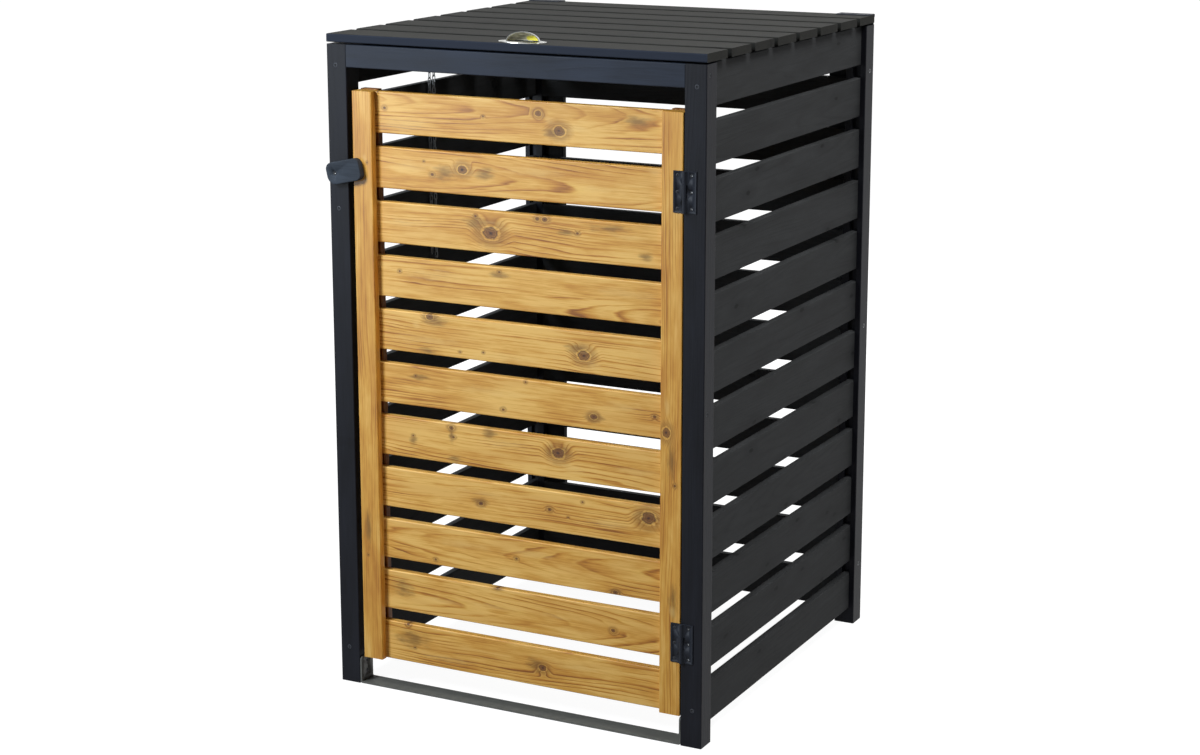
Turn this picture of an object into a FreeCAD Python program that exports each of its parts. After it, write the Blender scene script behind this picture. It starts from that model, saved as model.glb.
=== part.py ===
import FreeCAD, Part
import math
import os

# Store for one wheelie bin: a slatted timber cabinet, a lid hinged at the rear and a door hinged at the right.
# Millimetres, +Z up, the door faces -Y. The origin is on the floor, below the middle of the whole part.

V = FreeCAD.Vector
os.makedirs("parts", exist_ok=True)

# Frame
WIDTH = 700.0
DEPTH = 722.0
POST_HEIGHT = 1126.0
POST_SIDE = 38.0
RAIL_HEIGHT = 38.0
REAR_RAIL_THICK = 24.0
POST_ARRIS = 1.5

# Boards of the walls
BOARD_WIDTH = 70.0
BOARD_THICK = 14.0
BOARD_ARRIS = 2.0
WALL_BOARDS = 12
WALL_BOTTOM = 29.0
SIDE_RECESS = 10.0
REAR_RECESS = 10.0
LATH_WIDTH = 38.0
GROOVE_DEPTH = 8.0
GROOVE_CLEAR = 0.2

# Lid
LID_BOARDS = 8
LID_BOARD_WIDTH = 77.7
LID_REAR_BOARD_WIDTH = 71.0
LID_GAP = 3.0
LID_REAR_CLEAR = 0.5
LID_BATTEN_WIDTH = 38.0
LID_BATTEN_OFFSET = 46.0
LID_BATTEN_FRONT_CLEAR = 4.0
LID_BATTEN_REAR_CLEAR = 4.0

# Door
DOOR_SLATS = 11
DOOR_BOTTOM = 51.0
DOOR_TOP_GAP = 38.4
DOOR_LATCH_GAP = 9.5
DOOR_HINGE_GAP = 1.5
STILE_WIDTH = 38.0
DOOR_BATTEN_WIDTH = 34.0
DOOR_BATTEN_RISE = 1.2

# Door hinges
LEAF_THICK = 1.8
KNUCKLE_R = 3.2
KNUCKLE_CLEAR = 0.3
KNUCKLE_GAP = 0.3
PIN_R = 1.6
PIN_CLEAR = 0.05
DOOR_LEAF_LENGTH = 67.0
DOOR_LEAF_REACH = 20.0
DOOR_PIN_INSET = 2.0
DOOR_LEAF_TIP_CLEAR = 0.3
UPPER_HINGE_DROP = 125.1
LOWER_HINGE_RISE = 127.0
DOOR_SCREW_REACH = 12.5
DOOR_SCREW_PITCH = 26.5

# Lid hinges
LID_LEAF_LENGTH = 64.0
LID_LEAF_INSET = 2.0
LID_LEAF_REACH = 25.7
FRAME_LEAF_DROP = 44.0
LID_SCREW_REACH = 15.0
FRAME_SCREW_DROP = 28.0
LID_SCREW_PITCH = 24.0

# Turn button
BUTTON_LENGTH = 67.0
BUTTON_WIDTH = 38.0
BUTTON_THICK = 12.0
BUTTON_TAIL = 17.1
BUTTON_HEAD_ROUND = 11.0
BUTTON_TAIL_ROUND = 16.0
BUTTON_ARRIS = 2.0
BUTTON_TILT = 12.5
BUTTON_INSET = 18.7
BUTTON_DROP = 216.3
BUTTON_PLAY = 0.3
BUTTON_HEAD_R = 3.4
BUTTON_HEAD_H = 2.4
BUTTON_SHANK_R = 2.2
BUTTON_SHANK_LENGTH = 36.0
BUTTON_HOLE_CLEAR = 0.1

# Cup pull on the front board of the lid
PULL_OFFSET = 11.5
PULL_FRONT = 2.5
PULL_LENGTH = 86.0
PULL_WIDTH = 44.0
PULL_THICK = 1.2
CUP_LENGTH = 62.0
CUP_DEPTH = 20.0
CUP_HEIGHT = 17.0
CUP_SETBACK = 22.0
PULL_SCREW_PITCH = 76.0

# Strip on the floor of the doorway
STRIP_WIDTH = 37.0
STRIP_THICK = 3.0
STRIP_SETBACK = 1.0
STRIP_RISE = 48.0
STRIP_BEND = 4.0
STRIP_CORNER = 5.0
STRIP_SCREW_Z = 28.0
STRIP_SCREW_PITCH = 18.5

# Screws: head radius, head height, shank radius, length
FRAME_SCREW = (3.8, 2.6, 1.9, 50.0)
HINGE_SCREW = (2.9, 1.6, 1.5, 16.0)
LID_SCREW = (2.9, 1.6, 1.5, 13.0)
PULL_SCREW = (2.3, 1.1, 1.1, 12.0)
STRIP_SCREW = (3.4, 2.2, 1.7, 22.0)
SCREW_DOME = 0.5
SCREW_CLEAR = 0.05
SCREW_SINK = 0.3
TOP_SCREW_DROP = 18.0
SIDE_SCREW_INSET = 12.0
SIDE_SCREW_MID_RISE = 3.0
BUTTON_POST_SCREW_DROP = 61.7
LATH_SCREW_BOTTOM = 113.0
LATH_SCREW_MID_RISE = 10.0
LATH_SCREW_TOP_DROP = 82.0

# Chain and its two screw eyes
CHAIN_Y = 278.0
CHAIN_PITCH = 10.55
LINK_WIRE = 1.8
LINK_WIDTH = 6.6
LINK_PLAY = 0.1
WALL_LINKS = 33
LID_LINKS = 38
EYE_WIRE = 2.0
EYE_RING_R = 4.0
EYE_SHANK = 10.0
WALL_EYE_OFFSET = 7.5
WALL_EYE_DROP = 51.0
LID_EYE_OFFSET = 5.5

# Heights that follow the posts and the door
DOOR_HEIGHT = POST_HEIGHT - RAIL_HEIGHT - DOOR_TOP_GAP - DOOR_BOTTOM
UPPER_HINGE_Z = DOOR_BOTTOM + DOOR_HEIGHT - UPPER_HINGE_DROP
LOWER_HINGE_Z = DOOR_BOTTOM + LOWER_HINGE_RISE
BUTTON_Z = POST_HEIGHT - BUTTON_DROP
BUTTON_POST_SCREW_Z = BUTTON_Z - BUTTON_POST_SCREW_DROP
SIDE_SCREW_MID_Z = POST_HEIGHT / 2.0 + SIDE_SCREW_MID_RISE
LATH_SCREW_ZS = (LATH_SCREW_BOTTOM, POST_HEIGHT / 2.0 + LATH_SCREW_MID_RISE, POST_HEIGHT - LATH_SCREW_TOP_DROP)

# Derived planes
KNUCKLE_OFFSET = KNUCKLE_R + KNUCKLE_CLEAR
LID_REACH_BACK = KNUCKLE_OFFSET + KNUCKLE_R
BUTTON_REACH_FRONT = BUTTON_PLAY + BUTTON_THICK
X_LEFT = -WIDTH / 2.0
X_RIGHT = WIDTH / 2.0
Y_FRONT = (BUTTON_REACH_FRONT - LID_REACH_BACK - DEPTH) / 2.0
Y_REAR = Y_FRONT + DEPTH
X_IN_LEFT = X_LEFT + POST_SIDE
X_IN_RIGHT = X_RIGHT - POST_SIDE
Y_IN_FRONT = Y_FRONT + POST_SIDE
Y_IN_REAR = Y_REAR - POST_SIDE
WALL_PITCH = (POST_HEIGHT - WALL_BOTTOM - BOARD_WIDTH) / (WALL_BOARDS - 1)
DOOR_PITCH = (DOOR_HEIGHT - BOARD_WIDTH) / (DOOR_SLATS - 1)
LID_DEPTH = DEPTH - LID_REAR_CLEAR
LID_PITCH = (LID_DEPTH - LID_REAR_BOARD_WIDTH) / (LID_BOARDS - 1)
LID_BOTTOM = POST_HEIGHT + LID_GAP
LID_TOP = LID_BOTTOM + BOARD_THICK
RAIL_BOTTOM = POST_HEIGHT - RAIL_HEIGHT
DOOR_X0 = X_IN_LEFT + DOOR_LATCH_GAP
DOOR_X1 = X_IN_RIGHT - DOOR_HINGE_GAP
DOOR_AXIS_X = X_IN_RIGHT + DOOR_PIN_INSET
DOOR_AXIS_Y = Y_FRONT - KNUCKLE_OFFSET
LID_AXIS_Y = Y_REAR + KNUCKLE_OFFSET
LID_LEAF_TOP = LID_TOP + LEAF_THICK
LID_AXIS_Z = LID_LEAF_TOP - KNUCKLE_R

X_DIR = V(1, 0, 0)
Y_DIR = V(0, 1, 0)
Z_DIR = V(0, 0, 1)

nodes = {}
holes = []


def box(x0, x1, y0, y1, z0, z1):
    return Part.makeBox(x1 - x0, y1 - y0, z1 - z0, V(x0, y0, z0))


def timber(x0, x1, y0, y1, z0, z1, arris, run):
    # A planed piece of timber whose four long edges, those along run, are rounded.
    solid = box(x0, x1, y0, y1, z0, z1)
    sizes = sorted([x1 - x0, y1 - y0, z1 - z0])
    radius = min(arris, 0.4 * sizes[0])
    long_edges = []
    for edge in solid.Edges:
        line = edge.Vertexes[1].Point - edge.Vertexes[0].Point
        if abs(line.normalize().dot(run)) > 0.99:
            long_edges.append(edge)
    return solid.makeFillet(radius, long_edges)


def group(solids):
    return Part.makeCompound(solids)


def placed(shape, point, direction):
    # Turns a shape made along -Z so that it runs along direction from point.
    moved = shape.copy()
    moved.Placement = FreeCAD.Placement(point, FreeCAD.Rotation(V(0, 0, -1), direction))
    return moved


def revolved(points):
    # Closed outline of (radius, height) points turned about the Z axis.
    path = [V(r, 0, z) for r, z in points]
    face = Part.Face(Part.makePolygon(path + [path[0]]))
    return face.revolve(V(0, 0, 0), Z_DIR, 360.0)


def screw_body(size, dome):
    # Countersunk wood screw along -Z with a slightly domed head and a cross recess.
    head_r, head_h, shank_r, length = size
    tip = 2.5 * shank_r
    rim = 0.3 * head_h
    steps = 4
    outline = [(0.0, dome)]
    for i in range(1, steps):
        r = head_r * i / steps
        outline.append((r, dome * (1.0 - (i / steps) ** 2)))
    outline.append((head_r, 0.0))
    outline.append((head_r, -rim))
    outline.append((shank_r, -head_h))
    outline.append((shank_r, -(length - tip)))
    outline.append((0.0, -length))
    body = revolved(outline)
    arm = 0.62 * head_r
    half = 0.14 * head_r
    deep = 0.55 * head_h
    body = body.cut(box(-arm, arm, -half, half, -deep, dome + 1.0))
    return body.cut(box(-half, half, -arm, arm, -deep, dome + 1.0))


def screw_hole(size, mouth):
    # The hole that the screw sits in, open above the head by mouth.
    head_r, head_h, shank_r, length = size
    c = SCREW_CLEAR
    rim = 0.3 * head_h
    tip = 2.5 * shank_r
    outline = [
        (0.0, mouth),
        (head_r + c, mouth),
        (head_r + c, -rim - c),
        (shank_r + c, -head_h - c),
        (shank_r + c, -(length - tip) - c),
        (0.0, -length - 2.0 * c),
    ]
    return revolved(outline)


def drive(store, size, point, direction, dome=SCREW_DOME, mouth=1.0):
    store.append(placed(screw_body(size, dome), point, direction))
    holes.append(placed(screw_hole(size, mouth), point, direction))


def prism(origin, u_dir, v_dir, w_dir, outline, w0, w1):
    pts = [origin + u_dir * u + v_dir * v + w_dir * w0 for u, v in outline]
    face = Part.Face(Part.makePolygon(pts + [pts[0]]))
    return face.extrude(w_dir * (w1 - w0))


def leaf(origin, u_dir, v_dir, w_dir, length, reach, near, v_out, rolled, outer):
    # One leaf of a butt hinge. The origin is on the pin's axis at one end of the hinge, the plate reaches
    # along u_dir, its back lies at v_out along v_dir, and the pin runs along w_dir. The outer leaf has
    # the first and last knuckles, the other one the middle knuckle.
    knuckle = (length - 2.0 * KNUCKLE_GAP) / 3.0
    spans = [(knuckle + KNUCKLE_GAP, 2.0 * knuckle + KNUCKLE_GAP)]
    if outer:
        spans = [(0.0, knuckle), (2.0 * (knuckle + KNUCKLE_GAP), length)]
    v_in = v_out - LEAF_THICK
    notch = KNUCKLE_OFFSET
    plate = [(notch, v_in), (reach, v_in), (reach, v_out), (notch, v_out)]
    solid = prism(origin, u_dir, v_dir, w_dir, plate, 0.0, length)
    for w0, w1 in spans:
        root = [(near, v_in), (notch + 1.0, v_in), (notch + 1.0, v_out), (near, v_out)]
        solid = solid.fuse(prism(origin, u_dir, v_dir, w_dir, root, w0, w1))
        if rolled:
            wide = KNUCKLE_R + 1.3 * LEAF_THICK
            curl = [(near, v_out), (wide, v_out), (wide, v_in), (KNUCKLE_R, 0.0)]
            solid = solid.fuse(prism(origin, u_dir, v_dir, w_dir, curl, w0, w1))
        solid = solid.fuse(Part.makeCylinder(KNUCKLE_R, w1 - w0, origin + w_dir * w0, w_dir))
    bore = Part.makeCylinder(PIN_R + PIN_CLEAR, length + 2.0, origin - w_dir, w_dir)
    return solid.cut(bore).removeSplitter()


def hinge_pin(origin, w_dir, length):
    # Pin with chamfered ends, as long as the hinge.
    pin = Part.makeCylinder(PIN_R, length, origin, w_dir)
    ends = [e for e in pin.Edges if isinstance(e.Curve, Part.Circle)]
    return pin.makeChamfer(0.3, ends)


# Posts
# The grooves that hold the ends of the side boards run from the lowest board to the top.
groove_x = SIDE_RECESS - GROOVE_CLEAR
groove_w = BOARD_THICK + 2.0 * GROOVE_CLEAR
groove_z = WALL_BOTTOM - GROOVE_CLEAR
for side, x0 in (("left", X_LEFT), ("right", X_IN_RIGHT)):
    gx0 = x0 + groove_x
    if side == "right":
        gx0 = X_RIGHT - groove_x - groove_w
    front = timber(x0, x0 + POST_SIDE, Y_FRONT, Y_IN_FRONT, 0.0, POST_HEIGHT, POST_ARRIS, Z_DIR)
    groove = box(gx0, gx0 + groove_w, Y_IN_FRONT - GROOVE_DEPTH, Y_IN_FRONT + 1.0, groove_z, POST_HEIGHT + 1.0)
    nodes["post_front_" + side] = front.cut(groove)
    rear = timber(x0, x0 + POST_SIDE, Y_IN_REAR, Y_REAR, 0.0, POST_HEIGHT, POST_ARRIS, Z_DIR)
    groove = box(gx0, gx0 + groove_w, Y_IN_REAR - 1.0, Y_IN_REAR + GROOVE_DEPTH, groove_z, POST_HEIGHT + 1.0)
    nodes["post_rear_" + side] = rear.cut(groove)

# Top rails between the posts
nodes["rail_front_top"] = timber(
    X_IN_LEFT, X_IN_RIGHT, Y_FRONT, Y_IN_FRONT, RAIL_BOTTOM, POST_HEIGHT, POST_ARRIS, X_DIR)
rear_rail_y = Y_REAR - REAR_RAIL_THICK
nodes["rail_rear_top"] = timber(
    X_IN_LEFT, X_IN_RIGHT, rear_rail_y, Y_REAR, RAIL_BOTTOM, POST_HEIGHT, POST_ARRIS, X_DIR)

# Side walls: boards with their ends in the grooves
board_y0 = Y_IN_FRONT - GROOVE_DEPTH + GROOVE_CLEAR
board_y1 = Y_IN_REAR + GROOVE_DEPTH - GROOVE_CLEAR
for side in ("left", "right"):
    bx0 = X_LEFT + SIDE_RECESS
    if side == "right":
        bx0 = X_RIGHT - SIDE_RECESS - BOARD_THICK
    boards = []
    for i in range(WALL_BOARDS):
        z = WALL_BOTTOM + i * WALL_PITCH
        boards.append(timber(
            bx0, bx0 + BOARD_THICK, board_y0, board_y1, z, z + BOARD_WIDTH, BOARD_ARRIS, Y_DIR))
    nodes["side_boards_" + side] = group(boards)

# Rear wall: boards between the posts, held by two upright laths behind them
lath_y1 = Y_REAR - REAR_RECESS
lath_y0 = lath_y1 - BOARD_THICK
boards = []
for i in range(WALL_BOARDS):
    z = WALL_BOTTOM + i * WALL_PITCH
    boards.append(timber(
        X_IN_LEFT, X_IN_RIGHT, lath_y0 - BOARD_THICK, lath_y0, z, z + BOARD_WIDTH, BOARD_ARRIS, X_DIR))
nodes["rear_boards"] = group(boards)
laths = []
for lx0 in (X_IN_LEFT, X_IN_RIGHT - LATH_WIDTH):
    laths.append(timber(lx0, lx0 + LATH_WIDTH, lath_y0, lath_y1, WALL_BOTTOM, RAIL_BOTTOM, BOARD_ARRIS, Z_DIR))
nodes["rear_laths"] = group(laths)

# Strip on the floor of the doorway, its ends turned up against the posts
strip_y0 = Y_FRONT + STRIP_SETBACK
strip_y1 = strip_y0 + STRIP_WIDTH
strip = box(X_IN_LEFT, X_IN_RIGHT, strip_y0, strip_y1, 0.0, STRIP_RISE)
strip = strip.cut(box(
    X_IN_LEFT + STRIP_THICK, X_IN_RIGHT - STRIP_THICK, strip_y0 - 1.0, strip_y1 + 1.0,
    STRIP_THICK, STRIP_RISE + 1.0))


def edges_at(solid, run, test):
    found = []
    for edge in solid.Edges:
        line = edge.Vertexes[-1].Point - edge.Vertexes[0].Point
        if line.Length > 1e-6 and abs(line.normalize().dot(run)) > 0.99:
            if test(edge.CenterOfMass):
                found.append(edge)
    return found


strip = strip.makeFillet(STRIP_BEND, edges_at(
    strip, Y_DIR, lambda c: c.z < 0.01 and abs(c.x) > X_IN_RIGHT - 0.01))
strip = strip.makeFillet(STRIP_BEND - 0.8 * STRIP_THICK, edges_at(
    strip, Y_DIR, lambda c: abs(c.z - STRIP_THICK) < 0.01 and abs(c.x) < X_IN_RIGHT - 0.01))
strip = strip.makeFillet(STRIP_CORNER, edges_at(
    strip, X_DIR, lambda c: abs(c.z - STRIP_RISE) < 0.01))
strip_mid = (strip_y0 + strip_y1) / 2.0
threshold_screws = []
for sx, direction in ((X_IN_LEFT + STRIP_THICK, V(-1, 0, 0)), (X_IN_RIGHT - STRIP_THICK, V(1, 0, 0))):
    for sign in (-1.0, 1.0):
        point = V(sx, strip_mid, STRIP_SCREW_Z + sign * STRIP_SCREW_PITCH / 2.0)
        drive(threshold_screws, STRIP_SCREW, point, direction)
nodes["threshold_strip"] = strip
nodes["threshold_screws"] = group(threshold_screws)

# Screws in the posts: through the front faces into the ends of the side boards, and through the outer
# faces into the front rail and the rear laths
frame_screws = []
board_mid = SIDE_RECESS + BOARD_THICK / 2.0
lowest_mid = WALL_BOTTOM + BOARD_WIDTH / 2.0
highest_mid = POST_HEIGHT - BOARD_WIDTH / 2.0
front_points = []
for z in (lowest_mid, highest_mid):
    front_points.append((X_LEFT + board_mid, z))
    front_points.append((X_RIGHT - board_mid, z))
for x, z in front_points:
    drive(frame_screws, FRAME_SCREW, V(x, Y_FRONT + SCREW_SINK, z), Y_DIR, 0.0, SCREW_SINK + 1.0)
short = FRAME_SCREW[:3] + (POST_SIDE - GROOVE_DEPTH - 2.0,)
point = V(X_LEFT + board_mid, Y_FRONT + SCREW_SINK, BUTTON_POST_SCREW_Z)
drive(frame_screws, short, point, Y_DIR, 0.0, SCREW_SINK + 1.0)
lath_mid = (lath_y0 + lath_y1) / 2.0
for sx, direction in ((X_LEFT + SCREW_SINK, V(1, 0, 0)), (X_RIGHT - SCREW_SINK, V(-1, 0, 0))):
    points = [
        (Y_FRONT + SIDE_SCREW_INSET, POST_HEIGHT - TOP_SCREW_DROP),
    ]
    for z in LATH_SCREW_ZS:
        points.append((lath_mid, z))
    for y, z in points:
        drive(frame_screws, FRAME_SCREW, V(sx, y, z), direction, 0.0, SCREW_SINK + 1.0)
    short = FRAME_SCREW[:3] + (POST_SIDE - 4.0,)
    point = V(sx, Y_FRONT + SIDE_SCREW_INSET, SIDE_SCREW_MID_Z)
    drive(frame_screws, short, point, direction, 0.0, SCREW_SINK + 1.0)
nodes["frame_screws"] = group(frame_screws)

# Lid boards, the rear one ripped narrower to end at the hinges, and the two battens below them
for i in range(LID_BOARDS):
    y = Y_FRONT + i * LID_PITCH
    width = LID_REAR_BOARD_WIDTH if i == LID_BOARDS - 1 else LID_BOARD_WIDTH
    nodes["lid_board_%d" % (i + 1)] = timber(
        X_LEFT, X_RIGHT, y, y + width, LID_BOTTOM, LID_TOP, BOARD_ARRIS, X_DIR)
batten_y0 = Y_IN_FRONT + LID_BATTEN_FRONT_CLEAR
batten_y1 = Y_IN_REAR - LID_BATTEN_REAR_CLEAR
batten_z0 = LID_BOTTOM - BOARD_THICK
batten_x = X_LEFT + LID_BATTEN_OFFSET
nodes["lid_batten_left"] = timber(
    batten_x, batten_x + LID_BATTEN_WIDTH, batten_y0, batten_y1, batten_z0, LID_BOTTOM, BOARD_ARRIS, Y_DIR)
nodes["lid_batten_right"] = timber(
    -batten_x - LID_BATTEN_WIDTH, -batten_x, batten_y0, batten_y1, batten_z0, LID_BOTTOM, BOARD_ARRIS, Y_DIR)

# Lid hinges at the rear corners: the leaf on the lid is flush with the top of its barrel
lid_leaves = []
frame_leaves = []
lid_pins = []
lid_screws_lid = []
lid_screws_frame = []
for hx in (X_LEFT + LID_LEAF_INSET, X_RIGHT - LID_LEAF_INSET - LID_LEAF_LENGTH):
    origin = V(hx, LID_AXIS_Y, LID_AXIS_Z)
    plate = leaf(origin, V(0, -1, 0), V(0, 0, -1), X_DIR, LID_LEAF_LENGTH, LID_LEAF_REACH,
                 0.3 * KNUCKLE_R, LID_AXIS_Z - LID_TOP, False, False)
    lid_leaves.append(plate)
    plate = leaf(origin, V(0, 0, -1), V(0, -1, 0), X_DIR, LID_LEAF_LENGTH, FRAME_LEAF_DROP,
                 0.0, KNUCKLE_OFFSET, True, True)
    frame_leaves.append(plate)
    lid_pins.append(hinge_pin(origin, X_DIR, LID_LEAF_LENGTH))
    for step in (-1.0, 0.0, 1.0):
        sx = hx + LID_LEAF_LENGTH / 2.0 + step * LID_SCREW_PITCH
        point = V(sx, LID_AXIS_Y - LID_SCREW_REACH, LID_LEAF_TOP)
        drive(lid_screws_lid, LID_SCREW, point, V(0, 0, -1))
        point = V(sx, Y_REAR + LEAF_THICK, LID_AXIS_Z - FRAME_SCREW_DROP)
        drive(lid_screws_frame, HINGE_SCREW, point, V(0, -1, 0))
nodes["lid_hinge_leaves_lid"] = group(lid_leaves)
nodes["lid_hinge_leaves_frame"] = group(frame_leaves)
nodes["lid_hinge_pins"] = group(lid_pins)
nodes["lid_hinge_screws_lid"] = group(lid_screws_lid)
nodes["lid_hinge_screws_frame"] = group(lid_screws_frame)


# Cup pull: an oval plate whose rear half rises in a half dome that is open to the front
def half_dome(a, b, c, centre):
    # The part of an ellipsoid above the board and behind the opening.
    ball = Part.makeSphere(1.0)
    matrix = FreeCAD.Matrix()
    matrix.scale(a, b, c)
    ball = ball.transformGeometry(matrix)
    ball.translate(centre)
    keep = box(
        centre.x - a - 1.0, centre.x + a + 1.0, centre.y, centre.y + b + 1.0, centre.z, centre.z + c + 1.0)
    return ball.common(keep)


def oval(a, b, centre, height):
    major = Part.Ellipse(centre, a, b)
    return Part.Face(Part.Wire(major.toShape())).extrude(V(0, 0, height))


pull_x = PULL_OFFSET
pull_y = Y_FRONT + PULL_FRONT + PULL_WIDTH / 2.0
cup_y = Y_FRONT + PULL_FRONT + CUP_SETBACK
pull = oval(PULL_LENGTH / 2.0, PULL_WIDTH / 2.0, V(pull_x, pull_y, LID_TOP), PULL_THICK)
cup_centre = V(pull_x, cup_y, LID_TOP)
outer_cup = half_dome(CUP_LENGTH / 2.0, CUP_DEPTH, CUP_HEIGHT, cup_centre)
inner_cup = half_dome(
    CUP_LENGTH / 2.0 - PULL_THICK, CUP_DEPTH - PULL_THICK, CUP_HEIGHT - PULL_THICK, cup_centre)
pull = pull.fuse(outer_cup).cut(inner_cup)
pull_screws = []
for sign in (-1.0, 1.0):
    point = V(pull_x + sign * PULL_SCREW_PITCH / 2.0, pull_y, LID_TOP + PULL_THICK)
    drive(pull_screws, PULL_SCREW, point, V(0, 0, -1), 0.3)
nodes["cup_pull"] = pull
nodes["cup_pull_screws"] = group(pull_screws)

# Door: slats behind two stiles, with two battens behind the slats
for i in range(DOOR_SLATS):
    z = DOOR_BOTTOM + i * DOOR_PITCH
    nodes["door_slat_%02d" % (i + 1)] = timber(
        DOOR_X0, DOOR_X1, Y_FRONT + BOARD_THICK, Y_FRONT + 2.0 * BOARD_THICK, z, z + BOARD_WIDTH,
        BOARD_ARRIS, X_DIR)
door_top = DOOR_BOTTOM + DOOR_HEIGHT
nodes["door_stile_left"] = timber(
    DOOR_X0, DOOR_X0 + STILE_WIDTH, Y_FRONT, Y_FRONT + BOARD_THICK, DOOR_BOTTOM, door_top, BOARD_ARRIS, Z_DIR)
nodes["door_stile_right"] = timber(
    DOOR_X1 - STILE_WIDTH, DOOR_X1, Y_FRONT, Y_FRONT + BOARD_THICK, DOOR_BOTTOM, door_top, BOARD_ARRIS, Z_DIR)
back_y0 = Y_FRONT + 2.0 * BOARD_THICK
back_top = door_top + DOOR_BATTEN_RISE
nodes["door_batten_left"] = timber(
    DOOR_X0, DOOR_X0 + DOOR_BATTEN_WIDTH, back_y0, back_y0 + BOARD_THICK, DOOR_BOTTOM, back_top,
    BOARD_ARRIS, Z_DIR)
nodes["door_batten_right"] = timber(
    DOOR_X1 - DOOR_BATTEN_WIDTH, DOOR_X1, back_y0, back_y0 + BOARD_THICK, DOOR_BOTTOM, back_top,
    BOARD_ARRIS, Z_DIR)

# Door hinges on the front faces of the right stile and the right front post
door_pins = []
door_screws_door = []
door_screws_post = []
for name, z_mid in (("upper", UPPER_HINGE_Z), ("lower", LOWER_HINGE_Z)):
    origin = V(DOOR_AXIS_X, DOOR_AXIS_Y, z_mid - DOOR_LEAF_LENGTH / 2.0)
    nodes["door_hinge_%s_leaf_door" % name] = leaf(
        origin, V(-1, 0, 0), Y_DIR, Z_DIR, DOOR_LEAF_LENGTH, DOOR_LEAF_REACH,
        DOOR_PIN_INSET + DOOR_LEAF_TIP_CLEAR, KNUCKLE_OFFSET, True, False)
    nodes["door_hinge_%s_leaf_post" % name] = leaf(
        origin, X_DIR, Y_DIR, Z_DIR, DOOR_LEAF_LENGTH, DOOR_LEAF_REACH, 0.0, KNUCKLE_OFFSET, True, True)
    door_pins.append(hinge_pin(origin, Z_DIR, DOOR_LEAF_LENGTH))
    for step in (-1.0, 0.0, 1.0):
        z = z_mid + step * DOOR_SCREW_PITCH
        point = V(DOOR_AXIS_X - DOOR_SCREW_REACH, Y_FRONT - LEAF_THICK, z)
        drive(door_screws_door, HINGE_SCREW, point, Y_DIR)
        point = V(DOOR_AXIS_X + DOOR_SCREW_REACH, Y_FRONT - LEAF_THICK, z)
        drive(door_screws_post, HINGE_SCREW, point, Y_DIR)
nodes["door_hinge_pins"] = group(door_pins)
nodes["door_hinge_screws_door"] = group(door_screws_door)
nodes["door_hinge_screws_post"] = group(door_screws_post)


# Turn button on the left front post
def rounded_outline(x0, x1, z0, z1, radii):
    # Rectangle in the XZ plane with its own radius at each corner: lower left, lower right, upper right,
    # upper left.
    corners = [(x0, z0, 1, 1), (x1, z0, -1, 1), (x1, z1, -1, -1), (x0, z1, 1, -1)]
    edges = []
    last = None
    first = None
    for i, (cx, cz, sx, sz) in enumerate(corners):
        r = radii[i]
        mid = V(cx + sx * r * (1.0 - math.sqrt(0.5)), 0, cz + sz * r * (1.0 - math.sqrt(0.5)))
        along_x = V(cx + sx * r, 0, cz)
        along_z = V(cx, 0, cz + sz * r)
        start, end = (along_z, along_x) if i % 2 == 0 else (along_x, along_z)
        if last is not None:
            edges.append(Part.LineSegment(last, start).toShape())
        else:
            first = start
        edges.append(Part.Arc(start, mid, end).toShape())
        last = end
    edges.append(Part.LineSegment(last, first).toShape())
    return Part.Wire(edges)


pivot = V(X_LEFT + BUTTON_INSET, Y_FRONT - BUTTON_PLAY, BUTTON_Z)
wire = rounded_outline(
    -BUTTON_TAIL, BUTTON_LENGTH - BUTTON_TAIL, -BUTTON_WIDTH / 2.0, BUTTON_WIDTH / 2.0,
    (BUTTON_TAIL_ROUND, BUTTON_HEAD_ROUND, BUTTON_HEAD_ROUND, BUTTON_HEAD_ROUND))
button = Part.Face(wire).extrude(V(0, -BUTTON_THICK, 0))
front_edges = [e for e in button.Edges if abs(e.CenterOfMass.y + BUTTON_THICK) < 0.01]
button = button.makeFillet(BUTTON_ARRIS, front_edges)
button_hole = Part.makeCylinder(
    BUTTON_SHANK_R + BUTTON_HOLE_CLEAR, BUTTON_THICK + 2.0, V(0, 1.0, 0), V(0, -1, 0))
head_seat = Part.makeCylinder(
    BUTTON_HEAD_R + 2.0 * BUTTON_HOLE_CLEAR, BUTTON_HEAD_H + 1.0, V(0, -BUTTON_THICK + BUTTON_HEAD_H, 0),
    V(0, -1, 0))
button = button.cut(button_hole).cut(head_seat)
button.rotate(V(0, 0, 0), V(0, -1, 0), BUTTON_TILT)
button.translate(pivot)
nodes["latch_button"] = button

# Its screw: a flat head in the button's seat and a shank into the post
head_back = Y_FRONT - BUTTON_PLAY - BUTTON_THICK + BUTTON_HEAD_H - BUTTON_HOLE_CLEAR
head_front = Y_FRONT - BUTTON_PLAY - BUTTON_THICK
pivot_x = X_LEFT + BUTTON_INSET
head = Part.makeCylinder(BUTTON_HEAD_R, head_back - head_front, V(pivot_x, head_front, BUTTON_Z), Y_DIR)
shank = Part.makeCylinder(BUTTON_SHANK_R, BUTTON_SHANK_LENGTH, V(pivot_x, head_front, BUTTON_Z), Y_DIR)
slot = 0.16 * BUTTON_HEAD_R
arm = 0.6 * BUTTON_HEAD_R
recess = box(-arm, arm, -1.0, 0.6 * BUTTON_HEAD_H, -slot, slot)
recess = recess.fuse(box(-slot, slot, -1.0, 0.6 * BUTTON_HEAD_H, -arm, arm))
recess.translate(V(pivot_x, head_front, BUTTON_Z))
nodes["latch_screw"] = head.fuse(shank).removeSplitter().cut(recess)
holes.append(Part.makeCylinder(
    BUTTON_SHANK_R + SCREW_CLEAR, BUTTON_SHANK_LENGTH - (Y_FRONT - head_front) + SCREW_CLEAR + 1.0,
    V(pivot_x, Y_FRONT - 1.0, BUTTON_Z), Y_DIR))


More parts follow.
